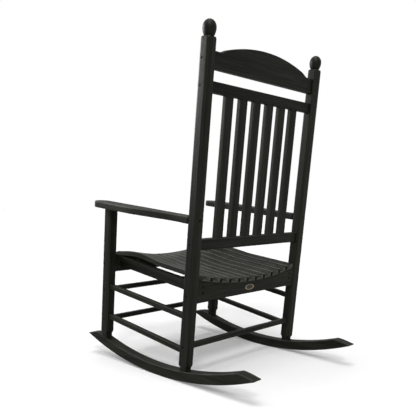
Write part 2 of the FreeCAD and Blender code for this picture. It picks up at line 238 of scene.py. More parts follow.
def section(width, height, radius):
    """Rounded rectangle: four quarter circles of the radius about its inner corners.

    width, height and radius may be arrays, one value for each ring; the result is
    (ring, point, 2), with the points going round against the clock.
    """
    width, height, radius = np.broadcast_arrays(*np.atleast_1d(width, height, radius))
    angle = (np.arange(4)[:, None] * np.pi / 2 + CORNER[None, :]).ravel()
    right = np.repeat([1, -1, -1, 1], ARC_STEPS + 1)
    top = np.repeat([1, 1, -1, -1], ARC_STEPS + 1)
    x = right * (width / 2 - radius)[:, None] + radius[:, None] * np.cos(angle)
    y = top * (height / 2 - radius)[:, None] + radius[:, None] * np.sin(angle)
    return np.stack([x, y], axis=2)


print("a section has", len(EDGE_OF_SECTION), "points")

# %% [markdown]
# Rings of points become a closed mesh with a flat face on each end. The faces function
# measures which way they look, from the volume that they enclose, and turns them over
# when they look inwards. The bends are shaded smooth and the sawn ends stay sharp.

# %% Rings into a closed mesh

SHARP_ANGLE = np.radians(35)


def closed_faces(rings):
    """Quads between neighbouring rings (ring, point, xyz) and a cap on each end, as indices.

    The sum of a . (b x c) over the triangles of the quads is six times the volume; when
    it is negative the faces look inwards, so their order is turned round.
    """
    count, around = rings.shape[:2]
    ring, point = np.meshgrid(np.arange(count - 1), np.arange(around), indexing="ij")
    start, after = ring * around + point, ring * around + (point + 1) % around
    quads = np.stack([start, after, after + around, start + around], axis=2).reshape(-1, 4)
    caps = np.stack([np.arange(around)[::-1], (count - 1) * around + np.arange(around)])
    a, b, c, d = np.moveaxis(rings.reshape(-1, 3)[quads] - rings.mean(axis=(0, 1)), 1, 0)
    volume = np.sum(a * np.cross(b - a, c - a) + a * np.cross(c - a, d - a))
    turn_over = slice(None, None, -1 if volume < 0 else 1)
    return quads[:, turn_over], caps[:, turn_over]


def add_piece(name, points, quads, caps, material):
    """A mesh object that rides the chair, smooth across its bends and sharp at its ends."""
    mesh = bpy.data.meshes.new(name)
    mesh.from_pydata(points.reshape(-1, 3).tolist(), [], quads.tolist() + caps.tolist())
    mesh.shade_smooth()
    mesh.set_sharp_from_angle(angle=SHARP_ANGLE)
    mesh.materials.append(material)
    piece = bpy.data.objects.new(name, mesh)
    bpy.context.scene.collection.objects.link(piece)
    piece.modifiers.new("even_shading", "WEIGHTED_NORMAL").keep_sharp = True
    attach(piece, "root")
    return piece


def skin(name, rings, material, edge=LIGHT_POLISH_AND_HIGHLIGHT * EDGE_OF_SECTION, replaces=()):
    """One closed piece; edge holds the polish and painted highlight of each point of a ring, or of
    every point.
    """
    piece = add_piece(name, rings, *closed_faces(rings), material)
    polish_and_highlight = piece.data.attributes.new("edge", "FLOAT", "POINT")
    polish_and_highlight.data.foreach_set("value", np.resize(edge, rings.shape[0] * rings.shape[1]))
    if replaces:
        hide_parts(*replaces)
    return piece


cube = np.array([[(0, 0, z), (1, 0, z), (1, 1, z), (0, 1, z)] for z in (0, 1)])
print("a box of two rings has", sum(len(faces) for faces in closed_faces(cube)), "faces")

# %% [markdown]
# A board is planed along its length, so its section travels along a line without
# turning over. The sweep keeps the section's two axes as given. Where the end of a board
# is sanded round, its last rings shrink a little while they move inwards.

# %% Sections carried along a path

END_TURN = np.radians([80, 55, 30, 0])


def eased(path, ease):
    """Path points for eased ends, and how much the section shrinks at each.

    At angle t an eased end has moved in by ease * (1 - sin t) and shrunk by
    ease * (1 - cos t) on every side, so the end of the bar is rounded over.
    """
    start = (path[1] - path[0]) / np.linalg.norm(path[1] - path[0])
    finish = (path[-2] - path[-1]) / np.linalg.norm(path[-2] - path[-1])
    inward = (ease * (1 - np.sin(END_TURN)))[:, None]
    less = ease * (1 - np.cos(END_TURN))
    ends = path[0] + start * inward, (path[-1] + finish * inward)[::-1]
    whole = np.vstack([ends[0], path[1:-1], ends[1]])
    return whole, np.concatenate([less, np.zeros(len(path) - 2), less[::-1]])


def carry(path, side, up, shape):
    """Rings of a sweep: path point + side * section x + up * section y."""
    side = np.broadcast_to(side, path.shape)
    up = np.broadcast_to(up, path.shape)
    return path[:, None] + shape[..., :1] * side[:, None] + shape[..., 1:] * up[:, None]


print("an eased end has", len(END_TURN), "rings")

# %% [markdown]
# A bent bar's path is a few straight runs joined by arcs, as a heated board is bent
# over round formers. The function below turns corners with a bend radius into points on
# that path. The same path is the sawn outline of the armrests and of the crest.

# %% Paths with bends

FINEST_TURN = np.radians(8)
BEND_STEP = 12 * MM


def bent_path(corners, radii, step=BEND_STEP):
    """Straight runs and arcs: each corner becomes an arc that touches both of its runs.

    Half the corner's angle is h. The arc's centre lies on the bisector, radius / sin h
    from the corner, and the arc sweeps 90 degrees - h to either side of the bisector.
    """
    corners = np.asarray(corners, float)
    points = [corners[:1]]
    for before, corner, after, radius in zip(corners, corners[1:], corners[2:], radii):
        back = (before - corner) / np.linalg.norm(before - corner)
        on = (after - corner) / np.linalg.norm(after - corner)
        middle = (back + on) / np.linalg.norm(back + on)
        half = np.arccos(np.clip(back @ on, -1, 1)) / 2
        sweep = np.pi / 2 - half
        across = on - (on @ middle) * middle
        across = across / np.linalg.norm(across)
        count = 3 + int(2 * sweep * radius / step) + int(2 * sweep / FINEST_TURN)
        angle = np.linspace(-sweep, sweep, count)[:, None]
        centre = corner + middle * radius / np.sin(half)
        points.append(centre - radius * (np.cos(angle) * middle - np.sin(angle) * across))
    points.append(corners[-1:])
    return np.vstack(points)


def ways(path):
    """Unit direction of travel at every point, from its two neighbours."""
    step = np.gradient(path, axis=0)
    return step / np.linalg.norm(step, axis=1)[:, None]


elbow = bent_path([(0, 0), (1, 0), (1, 1)], [0.1])
print("a right-angled bend of 100 mm radius has", len(elbow) - 2, "points")

# %% [markdown]
# The seat is eleven slats bent to one side profile: flat at the back, rising to a soft
# hump under the thighs and turning down at the nose. They lie side by side in a shallow
# dish, each rolled to face the sitter. The middle slat is made once as rings, and the
# others are the same rings rolled and lifted.

# %% Shape of a seat slat

SET_BACK = 4.8 * MM
SEAT_SLATS = 11
SEAT_PITCH = 47.8 * MM
SEAT_SLAT_WIDTH = 39.5 * MM
SEAT_SLAT_THICKNESS = 19.0 * MM
SEAT_RISE = 27.7 * MM
SEAT_RISE_X = 258 * MM
ROLL_HEIGHT = 386 * MM
SEAT_TOP = MM * np.array([
    (178, 360.8), (-53.4, 389.4), (-220, 422.8), (-358.6, 413.1), (-372.6, 392.5)
])
SEAT_BENDS = np.array([200, 524, 36]) * MM
SEAT_SLAT_EDGE = 2.8 * MM
SEAT_SLAT_EASE = 1.5 * MM

top_line = bent_path(np.insert(SEAT_TOP, 0, 0, axis=1), SEAT_BENDS)
seat_up = np.cross((1, 0, 0), ways(top_line))
seat_up = seat_up * np.sign(seat_up[:, 2:])
middle_line = top_line - seat_up * SEAT_SLAT_THICKNESS / 2
slat_line, slat_less = eased(middle_line, SEAT_SLAT_EASE)
extra = len(END_TURN) - 1
slat_up = np.pad(seat_up, ((extra, extra), (0, 0)), mode="edge")
slat_shape = section(
    SEAT_SLAT_WIDTH - 2 * slat_less,
    SEAT_SLAT_THICKNESS - 2 * slat_less,
    SEAT_SLAT_EDGE - slat_less / 2,
)
slat_rings = carry(slat_line, (1, 0, 0), slat_up, slat_shape)
print("the middle slat has", len(slat_rings), "rings")

# %% [markdown]
# Each slat is rolled about a line at one height, so the dish is a row of flat boards.
# The roll follows the slope of the dish's parabola at the slat's own place.

# %% Eleven slats in a dish


def seat_roll(number):
    """Sideways place of a slat, and its roll from the dish's slope 2 * rise * x / reach^2."""
    x = (number - (SEAT_SLATS - 1) / 2) * SEAT_PITCH
    return x, np.arctan(2 * SEAT_RISE * x / SEAT_RISE_X ** 2)


def rolled(points, roll):
    """Turn about Y: x cos - z sin, y, x sin + z cos."""
    x, y, z = np.moveaxis(points, -1, 0)
    c, s = np.cos(roll), np.sin(roll)
    return np.stack([x * c - z * s, y, x * s + z * c], axis=-1)


def seat_place(points, number):
    """Roll about a line at the roll height, then move sideways, back and up the dish."""
    x, roll = seat_roll(number)
    lift = ROLL_HEIGHT + SEAT_RISE * (x / SEAT_RISE_X) ** 2
    return rolled(points - (0, 0, ROLL_HEIGHT), roll) + (x, SET_BACK, lift)


for number in range(SEAT_SLATS):
    node = "seat_slat_%02d" % (number + 1)
    slat = seat_place(slat_rings, number)
    skin("bent_" + node, slat, board["deep"], SEAT_POLISH_AND_HIGHLIGHT * EDGE_OF_SECTION, [node])

# %% [markdown]
# The rockers are bars bent to one large radius, with both ends sawn to a slant. The
# section stays a rounded rectangle whose height follows two curves: the lower face stays
# on the arc to the very tip, and the upper face leaves it for the slanted cut, which a
# power of the distance along the tip makes slightly full.

# %% Rockers

ROCKER_RADIUS = 1267 * MM
ROCKER_HEIGHT = 37.6 * MM
ROCKER_WIDTH = 41 * MM
HALF_LENGTH = 450 * MM
TOP_HALF_LENGTH = 381 * MM
TIP_HEIGHT = 4 * MM
TIP_FULLNESS = 1.6
ROCKER_EDGE, THINNEST_EDGE = 4 * MM, 0.4
TIP_RINGS, LEVEL_RINGS = 9, 78
REAR_FOOT = np.array([297.5, 117.2]) * MM
FRONT_FOOT = np.array([309.5, -353.6]) * MM


def arc_height(radius, y):
    """Height of a circle about the rockers' centre: R - sqrt(radius^2 - y^2)."""
    return ROCKER_RADIUS - np.sqrt(radius ** 2 - y ** 2)


def splay(points):
    """Turn about Z onto the line of the two feet, which spreads slightly to the front."""
    slant = (FRONT_FOOT[0] - REAR_FOOT[0]) / (REAR_FOOT[1] - FRONT_FOOT[1])
    c, s = 1 / np.hypot(1, slant), slant / np.hypot(1, slant)
    x, y, z = np.moveaxis(points, -1, 0)
    shift = REAR_FOOT[0] + slant * REAR_FOOT[1]
    return np.stack([x * c - y * s + shift, x * s + y * c, z], axis=-1)


bevel_run = np.linspace(TOP_HALF_LENGTH, HALF_LENGTH, TIP_RINGS)
level_run = np.linspace(-TOP_HALF_LENGTH, TOP_HALF_LENGTH, LEVEL_RINGS + 2)[1:-1]
run = np.concatenate([-bevel_run[::-1], level_run, bevel_run])
low = arc_height(ROCKER_RADIUS, run)
upper_radius = ROCKER_RADIUS - ROCKER_HEIGHT
inner = arc_height(upper_radius, np.clip(run, -TOP_HALF_LENGTH, TOP_HALF_LENGTH))
cut = np.clip((np.abs(run) - TOP_HALF_LENGTH) / (HALF_LENGTH - TOP_HALF_LENGTH), 0, 1)
tip = arc_height(ROCKER_RADIUS, HALF_LENGTH) + TIP_HEIGHT
high = inner + (tip - inner) * cut ** TIP_FULLNESS
depth = high - low
shape = section(ROCKER_WIDTH, depth, np.minimum(ROCKER_EDGE, THINNEST_EDGE * depth))
line = np.stack([np.zeros_like(run), run, (low + high) / 2], axis=1)
rocker = splay(carry(line, (1, 0, 0), (0, 0, 1), shape))
for side, sign in (("left", 1), ("right", -1)):
    skin("bent_rocker_" + side, rocker * (sign, 1, 1), board["deep"], replaces=["rocker_" + side])
print("rockers of", len(run), "rings")

# %% [markdown]
# The four posts are square bars with well-rounded corners, like newel posts. Each foot
# is turned down to a smaller square that stands on the rocker, and the rear posts end
# in an eased shoulder under the finial. Where a bar ends against something that isn't
# square to it, the end ring slides along the bar until it lies in that surface.

# %% Leaning frames and mitred ends

ARM_HEIGHT = 613.7 * MM
REAR_ORIGIN = np.array([0, REAR_FOOT[1] + SET_BACK, 0])
FRONT_ORIGIN = np.array([0, FRONT_FOOT[1] + SET_BACK, 0])
ARM_ORIGIN = np.array([0, SET_BACK, ARM_HEIGHT])
back_way = np.array([0, np.cos(REAR_LEAN), -np.sin(REAR_LEAN)])
front_way = np.array([0, -np.cos(FRONT_LEAN), np.sin(FRONT_LEAN)])


def leaned(origin, lean, x, off, height):
    """Point of a frame that leans back: origin + off across the lean + height along it."""
    x, off, height = np.broadcast_arrays(x, off, height)
    return origin + np.stack([
        x,
        off * np.cos(lean) + height * np.sin(lean),
        height * np.cos(lean) - off * np.sin(lean),
    ], axis=-1)


def slide_to_plane(ring, way, point, normal):
    """Move each point along the bar by ((point - p) . normal) / (way . normal)."""
    way, normal = np.asarray(way, float), np.asarray(normal, float)
    return ring + ((point - ring) @ normal / (way @ normal))[:, None] * way


def slide_to_rocker(ring, way):
    """Slide along the bar until z is the height of the rocker's upper arc at y.

    Each round moves by (arc height - z) / (way's z), and three rounds settle it.
    """
    for _ in range(3):
        missing = arc_height(upper_radius, ring[:, 1]) - ring[:, 2]
        ring = ring + (missing / way[2])[:, None] * way
    return ring


print("1 m up, the rear posts stand %.0f mm further back" % (np.tan(REAR_LEAN) / MM))

# %% [markdown]
# The square posts are planed bars, so they are a stack of rounded squares up the leaning
# axis. The stack needs rings only where the width changes: at the foot, which eases in
# and out like a lamb's-tongue cut, and at the shoulder, which is a quarter circle.

# %% Posts

POST = 41.2 * MM
POST_CORNER = 9.5 * MM
FOOT = 30 * MM
REAR_X = 301.2 * MM
FRONT_X = 314.8 * MM
REAR_TOP = 1178.6 * MM
SHOULDER = 34.5 * MM
SHOULDER_HEIGHT = 8 * MM
FOOT_CORNER = 3 * MM
SHOULDER_CORNER = 8 * MM
TAPER_BELOW, TAPER_LENGTH = 12 * MM, 14 * MM
REAR_TAPER, REAR_GROUND = 66 * MM, 46 * MM
FRONT_TAPER, FRONT_GROUND = 112 * MM, 90 * MM
FRONT_TOP = 650 * MM
TAPER_RINGS, SHOULDER_RINGS = 9, 7
ARM_THICKNESS = 25.4 * MM
POST_SIZES = [FOOT, SHOULDER, POST]
POST_CORNERS = [FOOT_CORNER, SHOULDER_CORNER, POST_CORNER]


def post_rings(origin, lean, x, heights, widths):
    """Rounded squares stacked up the leaning axis; the corner radius follows the width."""
    heights, widths = np.asarray(heights), np.asarray(widths)
    shape = section(widths, widths, np.interp(widths, POST_SIZES, POST_CORNERS))
    return leaned(origin, lean, x + shape[..., 0], shape[..., 1], heights[:, None])


def tapered_foot(taper, ground):
    """Heights and widths from the foot's end to the full post, eased as 3 s^2 - 2 s^3."""
    share = np.linspace(0, 1, TAPER_RINGS)
    eased_share = share ** 2 * (3 - 2 * share)
    heights = taper - TAPER_BELOW + TAPER_LENGTH * share
    return np.append(ground, heights), np.append(FOOT, FOOT + (POST - FOOT) * eased_share)


turn = np.linspace(0, np.pi / 2, SHOULDER_RINGS)
foot_heights, foot_widths = tapered_foot(REAR_TAPER, REAR_GROUND)
rear_heights = np.concatenate([foot_heights, REAR_TOP - SHOULDER_HEIGHT * (1 - np.sin(turn))])
rear_widths = np.concatenate([foot_widths, SHOULDER + (POST - SHOULDER) * np.cos(turn)])
rear_post = post_rings(REAR_ORIGIN, REAR_LEAN, REAR_X, rear_heights, rear_widths)
rear_post[0] = slide_to_rocker(rear_post[0], up_rear)

foot_heights, foot_widths = tapered_foot(FRONT_TAPER, FRONT_GROUND)
front_heights = np.append(foot_heights, FRONT_TOP)
front_widths = np.append(foot_widths, POST)
front_post = post_rings(FRONT_ORIGIN, FRONT_LEAN, FRONT_X, front_heights, front_widths)
front_post[0] = slide_to_rocker(front_post[0], up_front)
arm_underside = ARM_ORIGIN - ARM_THICKNESS * up_rear
front_post[-1] = slide_to_plane(front_post[-1], up_front, arm_underside, up_rear)
for side, sign in (("left", 1), ("right", -1)):
    flip = (sign, 1, 1)
    for post, rings in (("rear", rear_post), ("front", front_post)):
        node = "%s_post_%s" % (post, side)
        skin("rounded_" + node, rings * flip, board[post], EDGE_OF_SECTION * POST_POLISH_AND_HIGHLIGHT, [node])
print("posts of", len(rear_post), "and", len(front_post), "rings")

# %% [markdown]
# The finials are turned on a lathe: a profile of radius against height is spun round the
# post's axis. The egg is two half ellipses with the same belly radius. The lower one is
# longer and is cut off by the post's top, which leaves the narrow foot. The profile
# stops just short of the axis, and a flat cap closes the crown.

# %% Finials

FINIAL_HEIGHT = 53.8 * MM
BELLY_RADIUS = 23 * MM
BELLY_HEIGHT = 26.9 * MM
FOOT_RADIUS = 15 * MM
CROWN_GAP = 0.06
LOWER_RINGS, UPPER_RINGS = 13, 16
LATHE_POINTS = 48


def egg_radius(height):
    """Belly radius times sqrt(1 - (distance from the belly / half-axis)^2)."""
    below = BELLY_HEIGHT / np.sqrt(1 - (FOOT_RADIUS / BELLY_RADIUS) ** 2)
    above = FINIAL_HEIGHT - BELLY_HEIGHT
    half_axis = np.where(height < BELLY_HEIGHT, below, above)
    return BELLY_RADIUS * np.sqrt(np.clip(1 - ((height - BELLY_HEIGHT) / half_axis) ** 2, 0, 1))


crown = np.sin(np.linspace(0, np.pi / 2 - CROWN_GAP, UPPER_RINGS))
rise = np.concatenate([
    np.linspace(0, BELLY_HEIGHT, LOWER_RINGS, endpoint=False),
    BELLY_HEIGHT + (FINIAL_HEIGHT - BELLY_HEIGHT) * crown,
])
around = np.linspace(0, 2 * np.pi, LATHE_POINTS, endpoint=False)
radius = egg_radius(rise)[:, None]
finial = leaned(
    REAR_ORIGIN, REAR_LEAN,
    REAR_X + radius * np.cos(around), radius * np.sin(around), REAR_TOP + rise[:, None],
)
for side, sign in (("left", 1), ("right", -1)):
    piece = skin("turned_finial_" + side, finial * (sign, 1, 1), board["rear"], edge=0)
    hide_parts("finials")
print("finials of", len(rise), "rings")

# %% [markdown]
# The back has two straight rails, an arched crest and six flat slats. Rails and slats
# are straight bars in the plane of the rear posts. The crest is a bar as well, whose
# section grows and shrinks in height under the sawn arch.

# %% Rails and crest

RAIL_END = REAR_X - POST / 2
RAIL_THICKNESS = 24 * MM
RAIL_REAR_FACE = 7.9 * MM
RAIL_EDGE = 2.5 * MM
CREST_BOTTOM = 1083.5 * MM
CREST_HALF = np.array([(280.6, 1140), (241, 1140), (212, 1154), (0, 1211.2)]) * MM
CREST_BENDS = np.array([8, 60, 740, 60, 8]) * MM
CREST_STEP = 8 * MM
RAIL_LINES = {
    "lower_back_rail": (481.5 * MM, 521 * MM),
    "upper_back_rail": (1008.5 * MM, 1046 * MM),
}


def rail_rings(x, bottom, top):
    """Sections upright across X: thickness by height, between the bottom and top lines."""
    shape = section(RAIL_THICKNESS, top - bottom, RAIL_EDGE)
    middle = (bottom + top) / 2 + np.zeros_like(x)
    off = RAIL_REAR_FACE - RAIL_THICKNESS / 2 + shape[..., 0]
    return leaned(REAR_ORIGIN, REAR_LEAN, x[:, None], off, middle[:, None] + shape[..., 1])


ends = np.array([-RAIL_END, RAIL_END])
for name, (bottom, top) in RAIL_LINES.items():
    rail = rail_rings(ends, bottom, top)
    skin("rounded_" + name, rail, board["across"], replaces=[name])
arch_corners = np.vstack([CREST_HALF, CREST_HALF[-2::-1] * (-1, 1)])
arch = bent_path(arch_corners, CREST_BENDS, CREST_STEP)
crest = rail_rings(arch[:, 0], CREST_BOTTOM, arch[:, 1])
skin("arched_crest_rail", crest, board["across"], replaces=["crest_rail"])
print("crest of", len(arch), "sections")

# %% [markdown]
# Six flat slats stand between the two rails, one pitch apart, and lean with them. Their
# visible part is a plain bar from rail to rail, so two rings make each one.

# %% Back slats

BACK_SLATS = 6
BACK_SLAT_PITCH = 73.7 * MM
BACK_SLAT_WIDTH = 39.5 * MM
BACK_SLAT_THICKNESS = 17.5 * MM
BACK_SLAT_REAR_FACE = 5 * MM
BACK_SLAT_EDGE = 3 * MM

slat_ends = np.array([RAIL_LINES["lower_back_rail"][1], RAIL_LINES["upper_back_rail"][0]])
shape = section(BACK_SLAT_WIDTH, BACK_SLAT_THICKNESS, BACK_SLAT_EDGE)
off = BACK_SLAT_REAR_FACE - BACK_SLAT_THICKNESS / 2 + shape[..., 1]
for number in range(BACK_SLATS):
    x = (number - (BACK_SLATS - 1) / 2) * BACK_SLAT_PITCH
    node = "back_slat_%d" % (number + 1)
    slat = leaned(REAR_ORIGIN, REAR_LEAN, x + shape[..., 0], off, slat_ends[:, None])
    skin("rounded_" + node, slat, board["rear"], replaces=[node])
print(BACK_SLATS, "back slats of %.1f mm" % (np.ptp(slat_ends) / MM))

# %% [markdown]
# An armrest is a flat board sawn to an outline and rounded over all round. Its surface
# has two parameters: where we are on the outline, and how far round the edge. The
# outline is moved inwards along its normals by the same amount everywhere, which is
# what a round-over bit does in the workshop. The rear end is left square, because it
# butts against the post.

# %% Armrests

ARM_ROUND, ARM_ROUND_RINGS = 4.5 * MM, 6
ARM_CORNERS = MM * np.array([
    (280.6, 160.7), (283.5, -379), (359, -379), (357, -120), (323, 80), (321.86, 160.7)
])
ARM_BENDS = np.array([31, 43, 500, 350]) * MM
outline = bent_path(ARM_CORNERS, ARM_BENDS)
way = ways(outline)
inward = np.stack([-way[:, 1], way[:, 0]], axis=1)
inward[[0, -1]] = (0, 0)
nose = len(outline) // 2
inward = inward * np.sign((outline.mean(axis=0) - outline[nose]) @ inward[nose])
turn = np.linspace(0, np.pi / 2, ARM_ROUND_RINGS)
inset = ARM_ROUND * np.concatenate([1 - np.sin(turn), 1 - np.cos(turn)])
height = ARM_ROUND * np.concatenate([1 - np.cos(turn), np.sin(turn) - 1])
height[:len(turn)] -= ARM_THICKNESS
plan = outline[None] + inward[None] * inset[:, None, None]
armrest = leaned(ARM_ORIGIN, REAR_LEAN, plan[..., 0], plan[..., 1], height[:, None])
# The rounded-over edge of the armrest gets the polish and the painted highlight.
arm_polish_and_highlight = LIGHT_POLISH_AND_HIGHLIGHT * np.repeat(np.tile(np.sin(2 * turn), 2), len(outline))
for side, sign in (("left", 1), ("right", -1)):
    node = "armrest_" + side
    skin("rounded_" + node, armrest * (sign, 1, 1), board["sloping"], arm_polish_and_highlight, [node])
print("armrest outline of", len(outline), "points")

# %% [markdown]
# Seven thin rungs tie the posts together: two at the front, one at the back, and two on
# each side that fall towards the back. The side rungs meet leaning posts, so both of
# their ends are slid into the faces of the posts.

# %% Rungs

RUNG_WIDTH = 19 * MM
RUNG_HEIGHT = 20 * MM
RUNG_EDGE = 3.5 * MM
REAR_RUNG = 135.8 * MM
FRONT_RUNG_LOWER, FRONT_RUNG_UPPER = 165.2 * MM, 290.2 * MM
SIDE_RUNG_LOWER, SIDE_RUNG_UPPER = 132.2 * MM, 260 * MM
rung_shape = section(RUNG_WIDTH, RUNG_HEIGHT, RUNG_EDGE)


def cross_rung(name, origin, lean, half_length, height):
    """A level rung between two posts of one leaning frame."""
    line = leaned(origin, lean, np.array([-half_length, half_length]), 0, height)
    rings = carry(line, (0, 1, 0), (0, 0, 1), rung_shape)
    skin("rounded_" + name, rings, board["across"], replaces=[name])


def side_rung(level, height):
    """Left and right rungs on the line z = height - slope * y, slid into the post faces."""
    front_face = leaned(FRONT_ORIGIN, FRONT_LEAN, FRONT_X, POST / 2, height)
    rear_face = leaned(REAR_ORIGIN, REAR_LEAN, REAR_X, -POST / 2, height)
    line = np.array([front_face, rear_face])
    line[:, 2] = height - SIDE_SLOPE * (line[:, 1] - SET_BACK)
    way = ways(line)[0]
    up = np.cross((1, 0, 0), way)
    rings = carry(line, np.cross(way, up), up, rung_shape)
    rings[0] = slide_to_plane(rings[0], way, front_face, front_way)
    rings[1] = slide_to_plane(rings[1], way, rear_face, back_way)
    for side, sign in (("left", 1), ("right", -1)):
        node = "side_rung_%s_%s" % (level, side)
        skin("rounded_" + node, rings * (sign, 1, 1), board["sloping"], replaces=[node])


front_span, rear_span = FRONT_X - POST / 2, REAR_X - POST / 2
cross_rung("front_rung_upper", FRONT_ORIGIN, FRONT_LEAN, front_span, FRONT_RUNG_UPPER)
cross_rung("front_rung_lower", FRONT_ORIGIN, FRONT_LEAN, front_span, FRONT_RUNG_LOWER)
cross_rung("rear_rung", REAR_ORIGIN, REAR_LEAN, rear_span, REAR_RUNG)
side_rung("upper", SIDE_RUNG_UPPER)
side_rung("lower", SIDE_RUNG_LOWER)
print("rungs of %.0f by %.0f mm" % (RUNG_WIDTH / MM, RUNG_HEIGHT / MM))

# %% [markdown]
# The joints are held by screws whose heads are seated in the plastic and seen as small
# dark spots. They are stainless steel with a black coating, which gives the eye a dark
# metal with a soft glint. Fine speckles break up that glint.

# %% Screw steel

SPECKLE, SPECKLE_DETAIL = 1.2 * MM, 3
GLINT_RANGE = (0.32, 0.55)
STEEL_ROUGHNESS = 0.42
STEEL_DARK, STEEL_LIGHT = "#0a0a0a", "#211f1d"
coated, tree, shader = new_material("black_coated_stainless_screw", STEEL_ROUGHNESS)
shader.inputs["Metallic"].default_value = 1.0
place = add_node(tree, "TexCoord").outputs["Object"]
grains = add_node(tree, "TexNoise", {"Vector": place}, i2=1 / SPECKLE, i3=SPECKLE_DETAIL)
speckle = grains.outputs["Fac"]
tone = add_node(tree, "ValToRGB", {"Fac": speckle})
tone.color_ramp.elements[0].color = linear(STEEL_DARK)
tone.color_ramp.elements[1].color = linear(STEEL_LIGHT)
smooth, rough = GLINT_RANGE
glint = add_node(tree, "MapRange", {"Value": speckle}, i3=smooth, i4=rough)
tree.links.new(tone.outputs["Color"], shader.inputs["Base Color"])
tree.links.new(glint.outputs["Result"], shader.inputs["Roughness"])
print("made", coated.name)

# %% [markdown]
# A screw head is a shallow dome with a six-lobed recess. Its surface is a polar grid:
# one parameter goes out from the middle, the other goes round, and the radius of the
# recess swings with six times the angle. All heads of one row share a mesh, because a
# row of equal screws is one thing to the maker too.

# %% Screw heads

RECESS_RADIUS = 1.9 * MM
LOBE = 0.35 * MM
LOBES = 6
LOBED_REACH = 1.15
HEAD_POINTS = 24
HEAD_REACH = np.array([0.02, 0.6, 0.97, 1.0, LOBED_REACH, 1.6, 2.05, 2.27, 2.32])
HEAD_RISE = np.array([0.10, 0.10, 0.16, 0.78, 0.88, 0.85, 0.70, 0.38, 0.0]) * MM
spin = np.linspace(0, 2 * np.pi, HEAD_POINTS, endpoint=False)
swing = np.where(HEAD_REACH <= LOBED_REACH, 1, 0)[:, None] * LOBE * np.cos(LOBES * spin)
swing = swing * np.minimum(HEAD_REACH, 1)[:, None]
head_radius = HEAD_REACH[:, None] * RECESS_RADIUS + swing
head = np.stack([
    head_radius * np.cos(spin),
    head_radius * np.sin(spin),
    np.broadcast_to(HEAD_RISE[:, None], head_radius.shape),
], axis=2)
ANY_WAY = (0.3, 0.5, 0.8)


def screw_row(name, places, outward):
    """Screw heads at the places, each facing its own outward way; they share one mesh.

    Each head is x * side + y * (outward x side) + z * outward + its place, where side
    is any direction square to outward.
    """
    outward = np.broadcast_to(np.asarray(outward, float), (len(places), 3))
    outward = outward / np.linalg.norm(outward, axis=1)[:, None]
    side = np.cross(outward, ANY_WAY)
    side = side / np.linalg.norm(side, axis=1)[:, None]
    axes = np.stack([side, np.cross(outward, side), outward], axis=1)
    points = np.einsum("rpi,nij->nrpj", head, axes) + np.asarray(places)[:, None, None]
    shift = (np.arange(len(places)) * head.shape[0] * head.shape[1])[:, None, None]
    quads, caps = [(faces + shift).reshape(-1, faces.shape[1]) for faces in closed_faces(head)]
    add_piece(name, points, quads, caps, coated)
    print(name, len(places), "heads")


print("a screw head is %.1f mm wide" % (2 * head_radius[-1, 0] / MM))

# %% [markdown]
# The outer face of each post shows a screw wherever a rung, an apron or a rail butts
# against its other side. The rows are pairs of height and offset in the leaning frame.

# %% Screws in the posts

REAR_APRON_SCREW, LOWER_RAIL_SCREW = (322 * MM, 0), (501 * MM, -4 * MM)
UPPER_RAIL_SCREW, CREST_SCREW = (1027 * MM, -8 * MM), (1112 * MM, -8 * MM)
FRONT_APRON_SCREW = (397 * MM, -8 * MM)
REAR_ROWS = np.array([
    (REAR_RUNG, 0), REAR_APRON_SCREW, LOWER_RAIL_SCREW, UPPER_RAIL_SCREW, CREST_SCREW
])
FRONT_ROWS = np.array([(FRONT_RUNG_LOWER, 0), (FRONT_RUNG_UPPER, 0), FRONT_APRON_SCREW])
POST_LINES = {
    "rear": (REAR_ORIGIN, REAR_LEAN, REAR_X, REAR_ROWS),
    "front": (FRONT_ORIGIN, FRONT_LEAN, FRONT_X, FRONT_ROWS),
}
for side, sign in (("left", 1), ("right", -1)):
    for post, (origin, lean, x, rows) in POST_LINES.items():
        places = leaned(origin, lean, x + POST / 2, rows[:, 1], rows[:, 0])
        screw_row("%s_post_screws_%s" % (post, side), places * (sign, 1, 1), (sign, 0, 0))

# %% [markdown]
# The aprons have two screws near each end of their outer face. Each armrest has two in
# its top over the front post and one through the rear post into its end. Each seat slat
# has one over the rear apron, the brace and the front apron, and these heads follow the
# slat's roll.

# %% Screws in the aprons, the armrests and the seat

APRON_REAR_FACE = 14 * MM
APRON_FRONT_FACE = -20 * MM
APRON_SCREW_X = 254 * MM
REAR_APRON_ROWS = np.array([329, 350]) * MM
FRONT_APRON_ROWS = np.array([388, 408]) * MM
ARM_SCREW_X = np.array([304.8, 324.8, -304.8, -324.8]) * MM
ARM_SCREW_OFF = -294 * MM
ARM_MIDDLE = 588 * MM
SEAT_SCREW_LINES = {"rear": 150 * MM, "middle": -214 * MM, "front": -322 * MM}


def apron_screws(origin, lean, off, heights):
    """Two screws one above the other near each end of an apron's outer face."""
    x, height = np.meshgrid([-APRON_SCREW_X, APRON_SCREW_X], heights)
    return leaned(origin, lean, x.ravel(), off, height.ravel())


rear_places = apron_screws(REAR_ORIGIN, REAR_LEAN, APRON_REAR_FACE, REAR_APRON_ROWS)
screw_row("rear_apron_screws", rear_places, back_way)
front_places = apron_screws(FRONT_ORIGIN, FRONT_LEAN, APRON_FRONT_FACE, FRONT_APRON_ROWS)
screw_row("front_apron_screws", front_places, front_way)
arm_screws = leaned(ARM_ORIGIN, REAR_LEAN, ARM_SCREW_X, ARM_SCREW_OFF, 0)
screw_row("armrest_screws", arm_screws, up_rear)
arm_back = leaned(REAR_ORIGIN, REAR_LEAN, np.array([-REAR_X, REAR_X]), POST / 2, ARM_MIDDLE)
screw_row("armrest_end_screws", arm_back, back_way)

numbers = range(SEAT_SLATS)
for row, y in SEAT_SCREW_LINES.items():
    height = np.interp(y, top_line[::-1, 1], top_line[::-1, 2])
    normal = seat_up[np.argmin(np.abs(top_line[:, 1] - y))]
    spots = [seat_place(np.array([0, y, height]), number) for number in numbers]
    outward = [rolled(normal, seat_roll(number)[1]) for number in numbers]
    screw_row("seat_screws_" + row, spots, outward)

